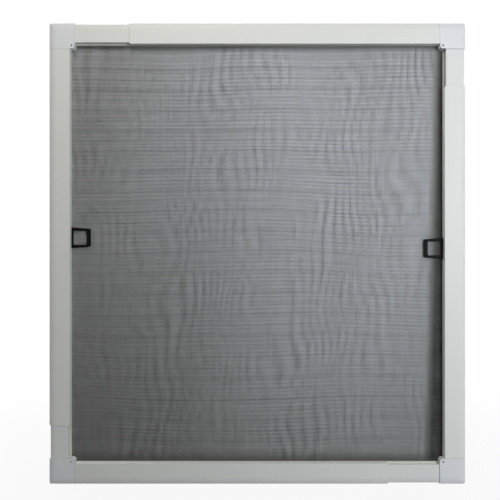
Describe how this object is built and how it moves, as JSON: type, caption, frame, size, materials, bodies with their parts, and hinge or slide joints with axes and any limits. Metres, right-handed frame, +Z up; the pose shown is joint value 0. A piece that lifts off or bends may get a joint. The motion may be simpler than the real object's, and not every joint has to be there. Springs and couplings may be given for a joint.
{
  "type": "window screen frame",
  "caption": "Telescopic insect-screen frame for a window: white sleeved rails, plastic corners with screw bosses, a grey mesh held by spline, and a black pull loop on each side.",
  "frame": {"origin": "centre of the four corner screw holes, in the plane of the frame's front faces", "axes": "upright as in a window: +Z up, +X to the right seen from the front, +Y from the front to the back"},
  "size_m": [0.67, 0.013, 0.742],
  "materials": {
    "outer_sleeve": "satin",
    "inner_sleeve": "satin",
    "corner": "satin",
    "mesh_strip": "matte",
    "spline": "matte",
    "mesh": "matte",
    "handle": "satin"
  },
  "bodies": {
    "root": {"top_outer_sleeve": "outer_sleeve", "top_inner_sleeve": "inner_sleeve", "top_mesh_strip": "mesh_strip", "top_spline": "spline", "right_outer_sleeve": "outer_sleeve", "right_inner_sleeve": "inner_sleeve", "right_mesh_strip": "mesh_strip", "right_spline": "spline", "bottom_outer_sleeve": "outer_sleeve", "bottom_inner_sleeve": "inner_sleeve", "bottom_mesh_strip": "mesh_strip", "bottom_spline": "spline", "left_outer_sleeve": "outer_sleeve", "left_inner_sleeve": "inner_sleeve", "left_mesh_strip": "mesh_strip", "left_spline": "spline", "top_left_corner": "corner", "top_right_corner": "corner", "bottom_right_corner": "corner", "bottom_left_corner": "corner", "mesh": "mesh", "left_handle": "handle", "right_handle": "handle"}
  },
  "joints": []
}
